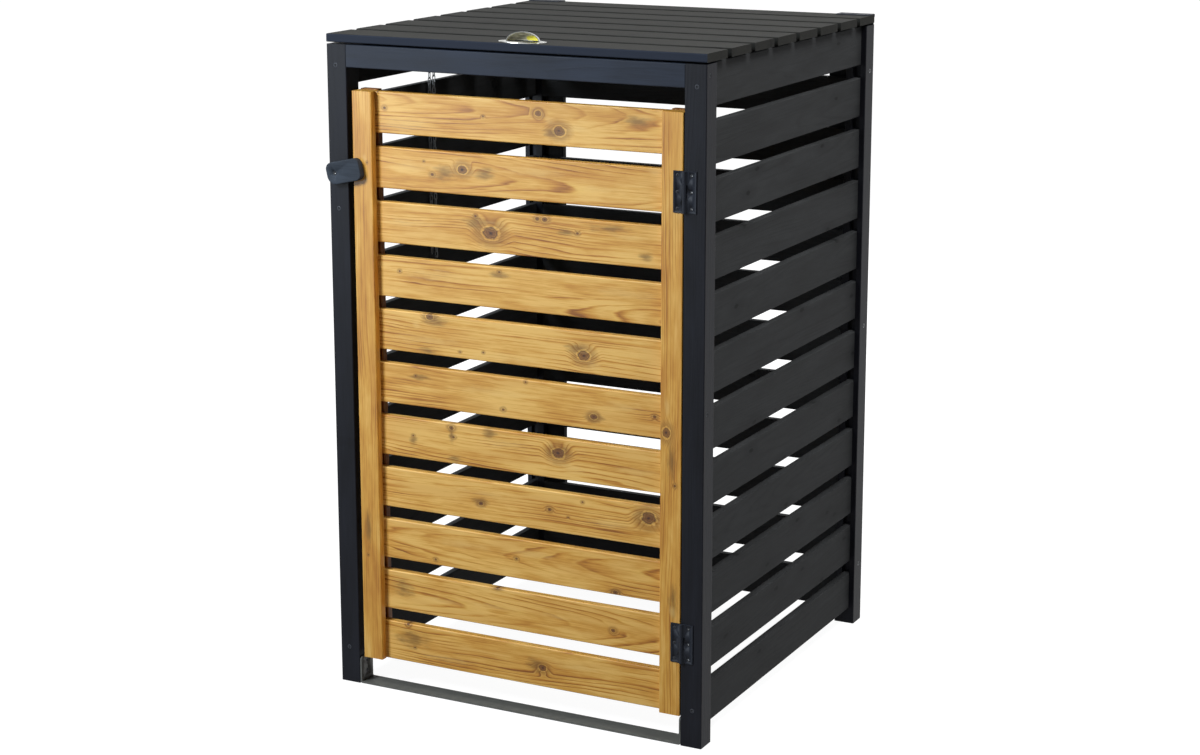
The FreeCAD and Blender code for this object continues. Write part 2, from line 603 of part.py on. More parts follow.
# Chain between the left wall and the lid
def link_body():
    # One link in the XZ plane, its long sides along Z, its middle at the origin.
    r = LINK_WIRE / 2.0
    bend = LINK_WIDTH / 2.0 - r
    straight = CHAIN_PITCH + LINK_PLAY + LINK_WIRE - 2.0 * bend
    half = straight / 2.0
    path = Part.Wire([
        Part.LineSegment(V(bend, 0, -half), V(bend, 0, half)).toShape(),
        Part.Arc(V(bend, 0, half), V(0, 0, half + bend), V(-bend, 0, half)).toShape(),
        Part.LineSegment(V(-bend, 0, half), V(-bend, 0, -half)).toShape(),
        Part.Arc(V(-bend, 0, -half), V(0, 0, -half - bend), V(bend, 0, -half)).toShape(),
    ])
    ring = Part.Wire(Part.makeCircle(r, V(bend, 0, -half), Z_DIR))
    return path.makePipeShell([ring], True, False)


def strand(x, z_top, count, first_turn):
    # Links hang one in the other from z_top, each turned a quarter against the last.
    links = []
    for i in range(count):
        one = link_body()
        if (i + first_turn) % 2 == 1:
            one.rotate(V(0, 0, 0), Z_DIR, 90.0)
        one.translate(V(x, chain_y, z_top - (i + 0.5) * CHAIN_PITCH))
        links.append(one)
    return links


def screw_eye(centre, direction):
    # Ring in the XZ plane and a shank from the ring into the timber.
    r = EYE_WIRE / 2.0
    ring = Part.makeTorus(EYE_RING_R, r, centre, Y_DIR)
    start = centre + direction * EYE_RING_R
    reach = WALL_EYE_OFFSET if direction.x < 0 else LID_EYE_OFFSET
    shank = Part.makeCylinder(r, reach - EYE_RING_R + EYE_SHANK, start, direction)
    bore = Part.makeCylinder(
        r + SCREW_CLEAR, EYE_SHANK + SCREW_CLEAR + 1.0, centre + direction * (reach - 1.0), direction)
    return ring.fuse(shank), bore


chain_y = Y_FRONT + CHAIN_Y
wall_eye_x = X_LEFT + SIDE_RECESS + BOARD_THICK + WALL_EYE_OFFSET
lid_eye_x = batten_x - LID_EYE_OFFSET
wall_eye_z = POST_HEIGHT - WALL_EYE_DROP
lid_eye_z = LID_BOTTOM - BOARD_THICK / 2.0
nodes["wall_eye"], eye_bore = screw_eye(V(wall_eye_x, chain_y, wall_eye_z), V(-1, 0, 0))
holes.append(eye_bore)
nodes["lid_eye"], eye_bore = screw_eye(V(lid_eye_x, chain_y, lid_eye_z), V(1, 0, 0))
holes.append(eye_bore)

# The chain hangs from the middle of the wire at the bottom of each ring. The first link's inner end
# rests on that wire, so the strand starts above the wire's middle by the wire's radius less half the play.
seat = EYE_WIRE / 2.0 + LINK_PLAY / 2.0
wall_top = wall_eye_z - EYE_RING_R + seat
lid_top = lid_eye_z - EYE_RING_R + seat
nodes["chain_wall_half"] = group(strand(wall_eye_x, wall_top, WALL_LINKS, 1))
lid_links = strand(lid_eye_x, lid_top, LID_LINKS, 1)
bottom_link = link_body()
bottom_link.rotate(V(0, 0, 0), Y_DIR, 90.0)
bottom_link.rotate(V(0, 0, 0), X_DIR, 90.0)
tip = (CHAIN_PITCH + LINK_PLAY + LINK_WIRE) / 2.0
bottom_z = lid_top - LID_LINKS * CHAIN_PITCH + LINK_WIRE / 2.0 + LINK_PLAY / 2.0
bottom_link.translate(V(lid_eye_x - tip, chain_y, bottom_z))
lid_links.append(bottom_link)
nodes["chain_lid_half"] = group(lid_links)

# Every hole is cut in whatever it passes through, except the screws and the screw eyes themselves
FASTENERS = ("screws", "_screw", "_eye", "chain", "pins", "latch_button")
for name in list(nodes):
    if any(word in name for word in FASTENERS):
        continue
    cut_solids = []
    for solid in nodes[name].Solids:
        reach = solid.BoundBox
        for hole in holes:
            if reach.intersect(hole.BoundBox):
                solid = solid.cut(hole)
        cut_solids.extend(solid.Solids)
    nodes[name] = cut_solids[0] if len(cut_solids) == 1 else group(cut_solids)

whole = None
for name in sorted(nodes):
    shape = nodes[name]
    shape.exportStep("parts/%s.step" % name)
    bounds = shape.BoundBox
    if whole is None:
        whole = FreeCAD.BoundBox(bounds)
    else:
        whole.add(bounds)
print("nodes", len(nodes), "not valid", [n for n in nodes if not nodes[n].isValid()])
print("box", [round(v, 2) for v in (whole.XMin, whole.XMax, whole.YMin, whole.YMax, whole.ZMin, whole.ZMax)])
print("door axis", round(DOOR_AXIS_X, 3), round(DOOR_AXIS_Y, 3))
print("lid axis", round(LID_AXIS_Y, 3), round(LID_AXIS_Z, 3))
print("button axis", round(pivot_x, 3), round(BUTTON_Z, 3))
print("eyes", [round(v, 3) for v in (wall_eye_x, lid_eye_x, chain_y, wall_eye_z, lid_eye_z)])
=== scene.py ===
# Store for one wheelie bin: a slatted softwood cabinet painted anthracite, with a lid hinged at the
# rear and a honey-stained slatted door hinged at the right. Metres, +Z up, the door faces -Y.
import math
import bmesh
import bpy
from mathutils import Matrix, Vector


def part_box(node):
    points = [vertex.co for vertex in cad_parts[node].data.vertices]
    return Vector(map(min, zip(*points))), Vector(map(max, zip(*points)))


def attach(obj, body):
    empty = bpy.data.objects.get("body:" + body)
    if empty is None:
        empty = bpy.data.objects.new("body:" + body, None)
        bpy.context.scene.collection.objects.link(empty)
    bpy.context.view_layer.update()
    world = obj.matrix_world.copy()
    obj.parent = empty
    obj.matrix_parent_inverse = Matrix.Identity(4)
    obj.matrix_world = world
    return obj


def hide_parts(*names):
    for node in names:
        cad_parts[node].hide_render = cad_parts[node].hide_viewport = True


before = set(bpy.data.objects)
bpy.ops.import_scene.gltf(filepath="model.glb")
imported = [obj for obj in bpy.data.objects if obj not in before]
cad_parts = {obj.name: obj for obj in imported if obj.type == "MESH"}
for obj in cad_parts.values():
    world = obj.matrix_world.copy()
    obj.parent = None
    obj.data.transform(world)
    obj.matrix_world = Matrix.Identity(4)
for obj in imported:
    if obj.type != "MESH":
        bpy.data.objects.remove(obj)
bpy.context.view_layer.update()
bpy.ops.object.select_all(action="DESELECT")

# Corner posts
# Four square posts of planed softwood, stood on end and brushed with two coats of anthracite paint.
# Grooves in them take the side boards' ends; a few knots show faintly through the paint.


def step(tree, kind, feeds=(), out=0, **choices):
    """Adds one step to a finish; feeds are its inputs in order or by name, choices its settings."""
    made = tree.nodes.new("ShaderNode" + kind)
    for choice, value in choices.items():
        setattr(made, choice, value)
    for place, feed in feeds.items() if isinstance(feeds, dict) else enumerate(feeds):
        if isinstance(feed, bpy.types.NodeSocket):
            tree.links.new(feed, made.inputs[place])
        elif feed is not None:
            made.inputs[place].default_value = feed
    return made.outputs[out]


def calc(tree, how, a, b=None, c=None):
    """Arithmetic on numbers or on what other steps give."""
    return step(tree, "Math", (a, b, c), operation=how)


def ease(tree, value, low, high, at_low=0.0, at_high=1.0):
    """A soft step: at_low below low, at_high above high."""
    return step(tree, "MapRange", (value, low, high, at_low, at_high), interpolation_type="SMOOTHSTEP")


def mottle(tree, place, stretch, detail=2.0, out=0):
    """Uneven patches of the stretch given in millimetres along, across and through the wood."""
    spot = step(tree, "VectorMath", (place, [1.0 / s for s in stretch]), operation="MULTIPLY")
    settings = {"Vector": spot, "Scale": 1.0, "Detail": detail, "Roughness": 0.55}
    return step(tree, "TexNoise", settings, out=out)


def card(red, green, blue):
    """A colour-card colour, 0 to 255, as light."""
    linear = [c / 255 / 12.92 if c < 11 else ((c / 255 + 0.055) / 1.055) ** 2.4 for c in (red, green, blue)]
    return (*linear, 1.0)


def shade(tree, amount, *stops):
    """Colours along an amount. A stop is a place, a colour-card colour and how strongly it covers."""
    made = step(tree, "ValToRGB", (amount,)).node
    ramp = made.color_ramp
    while len(ramp.elements) < len(stops):
        ramp.elements.new(0.5)
    for element, (place, colour, *cover) in zip(ramp.elements, stops):
        element.position = place
        element.color = (*card(*colour)[:3], *(cover or [1.0]))
    return made.outputs["Color"]


def profile(tree, amount, *stops):
    """A number that rises and falls along an amount."""
    made = step(tree, "ValToRGB", (amount,)).node
    ramp = made.color_ramp
    while len(ramp.elements) < len(stops):
        ramp.elements.new(0.5)
    for element, (place, value) in zip(ramp.elements, stops):
        element.position = place
        element.color = (value, value, value, 1.0)
    return made.outputs["Color"]


def tint(tree, amount, under, over):
    """One colour laid over another by an amount from 0 to 1."""
    made = tree.nodes.new("ShaderNodeMix")
    made.data_type = "RGBA"
    amount_place, under_place, over_place = 0, 6, 7
    for place, feed in ((amount_place, amount), (under_place, under), (over_place, over)):
        if isinstance(feed, bpy.types.NodeSocket):
            tree.links.new(feed, made.inputs[place])
        else:
            made.inputs[place].default_value = feed
    return made.outputs[2]


def bench(name):
    """A fresh finish to work on: the material, its steps, and its gloss shader."""
    finish = bpy.data.materials.new(name)
    finish.use_nodes = True
    tree = finish.node_tree
    return finish, tree, tree.nodes["Principled BSDF"]


def lie_of(node):
    """Order of the axes along, across and through a board, and its middle in that order."""
    low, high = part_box(node)
    size = high - low
    order = "".join(sorted("XYZ", key=lambda axis: -size["XYZ".index(axis)]))
    middle = (low + high) / 2
    return order, [middle["XYZ".index(axis)] for axis in order]


def on_board(tree, order, middle):
    """Millimetres along, across and through a board, counted from its middle."""
    spread = step(tree, "SeparateXYZ", (step(tree, "TexCoord", out="Object"),)).node.outputs
    turned = step(tree, "CombineXYZ", [spread["XYZ".index(axis)] for axis in order])
    back = [-1000 * m for m in middle]
    return step(tree, "VectorMath", (turned, (1000,) * 3, back), operation="MULTIPLY_ADD")


def away_from(tree, place, along, across, long, wide):
    """Distance from a spot on the board's face, counted in the spot's own half length and width."""
    back = (-along / long, -across / wide, 0)
    offset = step(tree, "VectorMath", (place, (1 / long, 1 / wide, 0), back), operation="MULTIPLY_ADD")
    return step(tree, "VectorMath", (offset,), out="Value", operation="LENGTH")


WANDER = 26.0
WANDER_STRETCH = (430, 80, 80)
RIPPLE = 5.0
RIPPLE_STRETCH = (110, 16, 16)
KNOT_LENGTHEN = 1.3
KNOT_PUSH = 2.0
UNEVEN_YEARS = 2.2
CLEAR_STRETCH = (210, 30, 30)
FIBRE_STRETCH = (75, 1.3, 1.3)
HAIR_STRETCH = (16, 0.5, 0.5)
YEAR_DRIFT = 0.45
KNOT_CORE = 0.2
KNOT_REACH = 3.6


def growth(tree, place, drawn, ring, pith, knots=()):
    """Growth rings, fibres and knots of sawn softwood.
    place is where on the board, drawn the same place moved to its own stretch of tree. pith is how far
    across and behind the heart lies, and how much the board leans to it. A knot is a place along and
    across and its radius; the rings bend round it in proportion."""
    across, behind, lean = pith
    wander = mottle(tree, drawn, WANDER_STRETCH, 1.0, out="Color")
    wander = step(tree, "VectorMath", (wander, (0.5,) * 3), operation="SUBTRACT")
    bent = step(tree, "VectorMath", (wander, (0, WANDER, WANDER), place), operation="MULTIPLY_ADD")
    along, side, depth = step(tree, "SeparateXYZ", (bent,)).node.outputs
    level = calc(tree, "MULTIPLY_ADD", along, lean, calc(tree, "SUBTRACT", depth, behind))
    heart = calc(tree, "SUBTRACT", side, across)
    squares = calc(tree, "MULTIPLY_ADD", level, level, calc(tree, "MULTIPLY", heart, heart))
    ripple = mottle(tree, drawn, RIPPLE_STRETCH, 2.0)
    reach = calc(tree, "MULTIPLY_ADD", ripple, RIPPLE, calc(tree, "SQRT", squares))
    near = None
    for knot_along, knot_across, size in knots:
        away = away_from(tree, place, knot_along, knot_across, KNOT_LENGTHEN * size, size)
        reach = calc(tree, "ADD", reach, ease(tree, away, KNOT_CORE, KNOT_REACH, KNOT_PUSH * size, 0.0))
        near = away if near is None else calc(tree, "MINIMUM", near, away)
    years = calc(tree, "DIVIDE", reach, ring)
    settings = {"W": calc(tree, "MULTIPLY", years, YEAR_DRIFT), "Scale": 1.0, "Detail": 1.0}
    good_years = step(tree, "TexNoise", settings, noise_dimensions="1D")
    turn = calc(tree, "FRACT", calc(tree, "MULTIPLY_ADD", good_years, UNEVEN_YEARS, years))
    late = profile(tree, turn, (0.0, 0.12), (0.3, 0.0), (0.6, 0.3), (0.8, 1.0), (0.92, 0.3), (1.0, 0.12))
    early = profile(tree, turn, (0.0, 0.35), (0.1, 0.0), (0.86, 0.0), (0.94, 1.0), (1.0, 0.35))
    clear = ease(tree, mottle(tree, drawn, CLEAR_STRETCH, 1.0), 0.36, 0.66, 0.12, 1.0)
    late = calc(tree, "MULTIPLY", late, clear)
    early = calc(tree, "MULTIPLY", early, clear)
    fibres = mottle(tree, drawn, FIBRE_STRETCH, 2.0)
    hairs = mottle(tree, drawn, HAIR_STRETCH, 1.0)
    return late, early, fibres, hairs, near


NEXT_PAINTED = (917.0, 331.0, 73.0)
NEXT_WALL = (117.0, 31.0, 0.0)
PAINTED_RING = 5.2
HEART_PACES = (2.3, 4.1, 1.7)
HEART_ACROSS = 34
HEART_BEHIND = -26
HEART_DEEPER = 14
HEART_LEAN = 0.035
WALL_ACROSS = 40.0
WALL_BEHIND = -30.0
WALL_DEEPER = 16.0
WALL_LEAN = 0.05
PAINT_PATCH = (150, 34, 34)
KNOTS_APART = (230, 88)
KNOT_ROUGHNESS = (14, 7, 7)
PAINT_SHINE = 0.07
IN_PAINT_PATCHES = 0.6
IN_PAINT_FIBRES = 0.3
IN_PAINT_HAIRS = 0.1
IN_PAINT_RINGS = -0.1


def anthracite(name, order, middle, number, base, rows=None, spots=0.5, satin=0.54, front=None):
    """Anthracite paint on softwood, with knots here and there that show through as far as spots says.
    rows is the bottom, pitch and width of boards that one node holds, front the colour of a front edge,
    a painted cool light on that face, and how far back from the middle that edge lies."""
    finish, tree, gloss = bench(name)
    place = on_board(tree, order, middle)
    own_stretch = [number * apart for apart in NEXT_PAINTED]
    drawn = step(tree, "VectorMath", (place, own_stretch), operation="ADD")
    sway, sink, slope = [math.sin(number * pace) for pace in HEART_PACES]
    pith = (HEART_ACROSS * sway, HEART_BEHIND - HEART_DEEPER * sink, HEART_LEAN * slope)
    if rows:
        bottom, pitch, wide = rows
        along, side, depth = step(tree, "SeparateXYZ", (place,)).node.outputs
        row = calc(tree, "FLOOR", calc(tree, "DIVIDE", calc(tree, "ADD", side, bottom), pitch))
        level = calc(tree, "MULTIPLY_ADD", row, -pitch, calc(tree, "ADD", side, bottom - wide / 2))
        place = step(tree, "CombineXYZ", (along, level, depth))
        moved = step(tree, "CombineXYZ", (row, row, row))
        drawn = step(tree, "VectorMath", (moved, NEXT_PAINTED, place), operation="MULTIPLY_ADD")
        own_stretch = [number * apart for apart in NEXT_WALL]
        drawn = step(tree, "VectorMath", (drawn, own_stretch), operation="ADD")
        turns = [calc(tree, "MULTIPLY_ADD", row, pace, number) for pace in HEART_PACES]
        sway, sink, slope = [calc(tree, "SINE", turn) for turn in turns]
        pith = (calc(tree, "MULTIPLY", sway, WALL_ACROSS),
                calc(tree, "MULTIPLY_ADD", sink, WALL_DEEPER, WALL_BEHIND),
                calc(tree, "MULTIPLY", slope, WALL_LEAN))
    rings, _, fibres, hairs, _ = growth(tree, place, drawn, PAINTED_RING, pith)
    scatter = [1 / apart for apart in KNOTS_APART] + [0]
    scatter = step(tree, "VectorMath", (drawn, scatter), operation="MULTIPLY")
    settings = {"Vector": scatter, "Scale": 1.0, "Randomness": 1.0}
    dots = step(tree, "TexVoronoi", settings, voronoi_dimensions="2D")
    dots = calc(tree, "MULTIPLY_ADD", mottle(tree, drawn, KNOT_ROUGHNESS, 2.0), 0.06, dots)
    patches = mottle(tree, drawn, PAINT_PATCH, 3.0)
    tone = calc(tree, "MULTIPLY", patches, IN_PAINT_PATCHES)
    tone = calc(tree, "MULTIPLY_ADD", fibres, IN_PAINT_FIBRES, tone)
    tone = calc(tree, "MULTIPLY_ADD", hairs, IN_PAINT_HAIRS, tone)
    tone = calc(tree, "MULTIPLY_ADD", rings, IN_PAINT_RINGS, tone)
    thick, thin, over_halo, over_knot = [[c * share for c in base] for share in (0.8, 1.2, 0.66, 0.5)]
    colour = shade(tree, tone, (0.32, thick), (0.48, base), (0.64, thin))
    knot = ease(tree, dots, 0.082, 0.05)
    halo = calc(tree, "MULTIPLY", ease(tree, dots, 0.26, 0.07), 0.45 * spots)
    colour = tint(tree, halo, colour, card(*over_halo))
    colour = tint(tree, calc(tree, "MULTIPLY", knot, spots), colour, card(*over_knot))
    # The front edge is tinted bluish like the rails: a painted cool light on that face.
    if front:
        edge_cool_light, edge_place = front
        side = step(tree, "SeparateXYZ", (place,)).node.outputs[1]
        in_front = ease(tree, side, edge_place - 0.9, edge_place - 1.7)
        colour = tint(tree, in_front, colour, card(*edge_cool_light))
    tree.links.new(colour, gloss.inputs["Base Color"])
    rough = calc(tree, "MULTIPLY_ADD", fibres, 0.16, satin)
    tree.links.new(calc(tree, "MULTIPLY_ADD", patches, 0.1, rough), gloss.inputs["Roughness"])
    gloss.inputs["Specular IOR Level"].default_value = PAINT_SHINE
    relief = calc(tree, "MULTIPLY_ADD", fibres, 0.7, calc(tree, "MULTIPLY", rings, 0.4))
    relief = calc(tree, "MULTIPLY_ADD", hairs, 0.3, relief)
    relief = calc(tree, "MULTIPLY_ADD", knot, 0.4, relief)
    bump = step(tree, "Bump", {"Strength": 0.4, "Distance": 0.0004, "Height": relief})
    tree.links.new(bump, gloss.inputs["Normal"])
    return finish


def dress(node, finish):
    """Puts a finish on a carried-over piece."""
    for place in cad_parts[node].material_slots:
        place.material = finish


POST_PAINT = (24, 25, 30)
for number, corner in enumerate(("front_left", "front_right", "rear_left", "rear_right"), 1):
    post = "post_" + corner
    dress(post, anthracite("painted_" + post, *lie_of(post), number, POST_PAINT, spots=0.2, satin=0.3))

# Top rails
# A square rail joins the front posts at the top and a thinner one the rear posts; both are the same
# softwood as the posts. Screws through the posts' outer faces hold the ends of the front one.

RAIL_PAINT = (36, 41, 51)
for number, rail in enumerate(("rail_front_top", "rail_rear_top"), 6):
    dress(rail, anthracite("painted_" + rail, *lie_of(rail), number, RAIL_PAINT, spots=0.2, satin=0.3))

# Wall boards
# Twelve planed boards a wall with an even gap, each from another stretch of timber and painted before it
# goes in. The side boards sit in the posts' grooves; the rear ones stand between the posts.

WALL_PAINT = (46, 47, 48)
WALL_BOARDS = 12
BOARD_WIDE = 70.0
for number, wall in enumerate(("side_boards_left", "side_boards_right", "rear_boards"), 11):
    low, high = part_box(wall)
    tall = 1000 * (high.z - low.z)
    pitch = (tall - BOARD_WIDE) / (WALL_BOARDS - 1)
    order = "XZY" if wall == "rear_boards" else "YZX"
    middle = [((low + high) / 2)["XYZ".index(axis)] for axis in order]
    rows = (tall / 2, pitch, BOARD_WIDE)
    dress(wall, anthracite("painted_" + wall, order, middle, number, WALL_PAINT, rows=rows, spots=0.9))

# Laths behind the rear wall
# Two upright laths of planed softwood, painted like the boards, stand behind the rear boards beside
# the posts and hold them; screws through the posts' sides hold the laths.

low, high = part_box("rear_laths")
lath_middle = [(low.z + high.z) / 2, 0, (low.y + high.y) / 2]
dress("rear_laths", anthracite("painted_rear_laths", "ZXY", lath_middle, 19, WALL_PAINT))

# Lid boards
# Eight painted boards lie across the top with an even gap; the front one carries the cup pull.
# Their paint is set darker than the walls' to damp the strong light on the top: painted shade. The front
# board's front edge is tinted bluish like the rails: painted cool light.

# Darker than the wall paint: painted shade on the top.
LID_PAINT_SHADED = (31, 31, 29)
# Bluish tint of the front board's front edge: painted cool light.
LID_EDGE_COOL_LIGHT = (36, 41, 52)
LID_ARRIS = 2.2
for number in range(1, 9):
    board = "lid_board_%d" % number
    low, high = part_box(board)
    half_wide = 500 * (high.y - low.y)
    front = (LID_EDGE_COOL_LIGHT, LID_ARRIS - half_wide) if number == 1 else None
    finish = anthracite("painted_" + board, *lie_of(board), 20 + number, LID_PAINT_SHADED, spots=0.9, front=front)
    dress(board, finish)

# Lid battens
# Two painted battens of planed softwood run from front to rear below the lid boards and hold them
# together; they lie inside the frame when the lid is shut.

for number, side in enumerate(("left", "right"), 31):
    batten = "lid_batten_" + side
    dress(batten, anthracite("painted_" + batten, *lie_of(batten), number, WALL_PAINT))

# Door slats
# Eleven planed spruce slats with softly rounded edges, brushed with a honey-coloured stain that leaves
# rings and knots showing. Each is its own cut of the tree, with its knots where they are here.


NEXT_STAINED = (717.0, 331.0, 73.0)
STAIN_PATCH = (120, 26, 26)
STAIN_STREAK = (150, 4, 4)
BLUSH_STRETCH = (190, 32, 32)
CLOUD_STRETCH = (22, 6, 6)
STAIN_SHINE = 0.26
IN_STAIN_PATCHES = 0.5
IN_STAIN_RINGS = 0.27
IN_STAIN_FIBRES = 0.28
IN_STAIN_HAIRS = 0.14
IN_STAIN_STREAKS = 0.24
SMUDGE, SMUDGE_COVER = (104, 72, 26), 0.72
# Pale spots: partly bleached stain, partly a painted sheen along the slats' left parts.
PALE_AND_SHEEN, PALE_AND_SHEEN_COVER = (232, 192, 116), 0.4
# From a knot's heart outwards: how far, the colour, and how strongly it covers.
KNOT_RINGS = (
    (0.0, (36, 16, 6), 1.0), (0.09, (72, 34, 12), 0.9), (0.14, (108, 60, 20), 0.85),
    (0.20, (68, 34, 12), 0.85), (0.25, (124, 72, 26), 0.75), (0.30, (40, 18, 6), 0.9),
    (0.34, (96, 54, 18), 0.6), (0.40, (222, 172, 84), 0.2), (0.47, (116, 72, 24), 0.5),
    (0.66, (130, 84, 30), 0.4), (1.0, (170, 120, 56), 0.0))


def honey(name, order, middle, number, ring, pith, knots, smudges=(), pales_and_sheen=(), grain=1.0, dark=0.0):
    """Honey stain on planed spruce, satin. smudges are dusky spots of the stain; the pale spots are partly
    bleached stain and partly a painted sheen. Each is a place along and across with its half length and
    half width."""
    finish, tree, gloss = bench(name)
    place = on_board(tree, order, middle)
    own_stretch = [number * apart for apart in NEXT_STAINED]
    drawn = step(tree, "VectorMath", (place, own_stretch), operation="ADD")
    rings, early, fibres, hairs, near = growth(tree, place, drawn, ring, pith, knots)
    patches = mottle(tree, drawn, STAIN_PATCH, 3.0)
    tone = calc(tree, "MULTIPLY", patches, IN_STAIN_PATCHES)
    tone = calc(tree, "MULTIPLY_ADD", rings, IN_STAIN_RINGS * grain, tone)
    tone = calc(tree, "MULTIPLY_ADD", fibres, IN_STAIN_FIBRES * grain, tone)
    tone = calc(tree, "ADD", tone, dark - IN_STAIN_HAIRS / 2)
    tone = calc(tree, "MULTIPLY_ADD", hairs, IN_STAIN_HAIRS * grain, tone)
    streaks = mottle(tree, drawn, STAIN_STREAK, 3.0)
    tone = calc(tree, "SUBTRACT", tone, IN_STAIN_STREAKS / 2 * grain)
    tone = calc(tree, "MULTIPLY_ADD", streaks, IN_STAIN_STREAKS * grain, tone)
    colour = shade(tree, tone, (0.28, (230, 182, 98)), (0.39, (209, 153, 64)), (0.50, (184, 122, 42)),
                   (0.64, (130, 74, 20)))
    blush = ease(tree, mottle(tree, drawn, BLUSH_STRETCH, 2.0), 0.47, 0.68, 0.0, 0.24)
    colour = tint(tree, blush, colour, card(190, 130, 52))
    cloudy = mottle(tree, drawn, CLOUD_STRETCH, 4.0)
    # Dusky smudges, then pale spots, some of which are a painted sheen.
    for spots, laid_colour, cover in ((smudges, SMUDGE, SMUDGE_COVER), (pales_and_sheen, PALE_AND_SHEEN, PALE_AND_SHEEN_COVER)):
        for along, across, long, wide in spots:
            away = away_from(tree, place, along, across, long, wide)
            away = calc(tree, "MULTIPLY_ADD", cloudy, 1.6, away)
            colour = tint(tree, ease(tree, away, 1.9, 0.8, 0.0, cover), colour, card(*laid_colour))
    colour = tint(tree, calc(tree, "MULTIPLY", early, 0.5 * grain), colour, card(236, 192, 100))
    if near is not None:
        uneven = mottle(tree, drawn, (9, 6, 6), 3.0)
        edge = calc(tree, "MULTIPLY_ADD", uneven, 0.9, calc(tree, "SUBTRACT", near, 0.45))
        laid_colour = shade(tree, calc(tree, "DIVIDE", edge, 3.0), *KNOT_RINGS)
        colour = tint(tree, laid_colour.node.outputs["Alpha"], colour, laid_colour)
    tree.links.new(colour, gloss.inputs["Base Color"])
    rough = calc(tree, "MULTIPLY_ADD", fibres, 0.16, 0.36)
    tree.links.new(calc(tree, "MULTIPLY_ADD", rings, -0.05, rough), gloss.inputs["Roughness"])
    gloss.inputs["Specular IOR Level"].default_value = STAIN_SHINE
    relief = calc(tree, "MULTIPLY_ADD", fibres, 0.5, calc(tree, "MULTIPLY", rings, 0.5))
    relief = calc(tree, "MULTIPLY_ADD", hairs, 0.25, relief)
    bump = step(tree, "Bump", {"Strength": 0.35, "Distance": 0.0004, "Height": relief})
    tree.links.new(bump, gloss.inputs["Normal"])
    return finish


PALER = -0.05
PALEST = -0.085
PALEST_SLATS = (2, 4, 5, 7)
# A slat: ring width, heart (across, behind, lean), knots (along, across, radius), smudges, and pale
# spots, partly bleached stain and partly a painted sheen.
SLATS = {
    11: (
        5.6, (17, -34, 0.06),
        ((41, 16, 4.4), (79, -10, 7.5), (-62, 5, 1.6), (-251, 8, 2.2), (-264, 34, 1.4)),
        ((221, 14, 34, 9), (66, -14, 20, 8)),
        ((112, -6, 30, 9), (-215, -18, 70, 14), (60, 6, 14, 8))),
    10: (
        5.8, (-6, -40, 0.05),
        ((-102, 7, 6.5), (-160, -5, 2.6), (-176, 16, 1.3)),
        ((-136, -2, 24, 16), (-60, 4, 26, 14)),
        ((254, 26, 22, 11), (-205, 4, 56, 13), (40, 12, 60, 9), (150, -8, 60, 8))),
    9: (
        5.2, (-58, -40, 0.012),
        ((-50, -2, 10.5), (38, 29, 3.0), (52, 29, 3.8), (112, 11, 2.2), (-78, 24, 2.0)),
        ((-80, 14, 22, 15), (90, 11, 20, 7), (170, 24, 44, 8), (235, -18, 16, 9)),
        ((206, 12, 40, 5), (-210, 2, 60, 8), (-50, 16, 20, 3))),
    8: (
        6.0, (-30, -44, -0.03),
        ((-227, 11, 1.9), (-34, 27, 1.9)),
        ((-34, 22, 24, 7),),
        ((-150, 10, 90, 13), (200, 12, 70, 10))),
    7: (
        5.6, (-64, -38, 0.016),
        ((-170, 31, 5.0), (123, -5, 8.0), (-111, -24, 1.5), (-66, -20, 1.5)),
        ((-158, 24, 30, 12), (-174, -28, 22, 7), (110, 6, 26, 10)),
        ((-196, 16, 9, 11), (141, -21, 17, 9), (-170, -10, 80, 10), (-20, -24, 70, 8))),
    6: (
        5.2, (52, -46, -0.012),
        ((-199, 18, 1.6), (-29, -21, 2.3), (14, 31, 1.7), (141, -13, 4.6), (252, 0, 2.5)),
        ((141, -14, 22, 10), (-190, 16, 24, 6)),
        ((196, 10, 44, 10), (-60, 6, 90, 10))),
    5: (
        5.4, (-50, -42, 0.022),
        ((-130, 28, 3.4), (75, 9, 8.4), (-206, 5, 1.6), (-126, 12, 2.2)),
        ((-130, 18, 7, 17), (-56, 27, 16, 12), (-122, -27, 18, 9), (75, 9, 26, 15), (-206, -4, 10, 12)),
        ((100, -14, 26, 9), (214, -4, 60, 7), (-30, 12, 60, 9))),
    4: (
        5.2, (60, -44, 0.014),
        ((-74, -5, 3.4), (58, 3, 3.0), (120, 24, 1.6), (242, 13, 9.5), (93, -6, 1.3)),
        ((242, 14, 28, 15), (-74, -2, 20, 8)),
        ((-60, 14, 70, 7), (170, -8, 60, 8))),
    3: (
        6.0, (9, -40, -0.062),
        ((-165, -25, 2.0), (-6, 0, 2.0), (181, -31, 3.4)),
        ((181, -29, 20, 7),),
        ((-110, 10, 70, 8), (24, 12, 60, 8))),
    2: (
        6.2, (-5, -42, 0.062),
        ((-44, 36, 2.4), (177, -5, 3.2)),
        ((-232, 6, 26, 18), (-44, 33, 16, 5)),
        ((-150, -6, 50, 6), (-44, 0, 50, 6), (72, 2, 44, 5))),
    1: (
        5.8, (46, -44, 0.018),
        ((43, -1, 5.4), (-223, 34, 2.6), (-210, -7, 1.6)),
        ((30, 2, 22, 15), (-215, 8, 40, 20)),
        ((-150, -16, 70, 7), (120, 12, 60, 7))),
}

for number, (ring, pith, knots, smudges, pales_and_sheen) in SLATS.items():
    slat = "door_slat_%02d" % number
    light = PALEST if number in PALEST_SLATS else PALER
    finish = honey("stained_" + slat, *lie_of(slat), number, ring, pith, knots, smudges, pales_and_sheen, dark=light)
    dress(slat, finish)

# Door stiles
# An upright stile of the same stained spruce covers the slats' ends on the front, each side. Sawn from
# another part of the tree, the stiles have taken the stain darker and with a quieter grain.

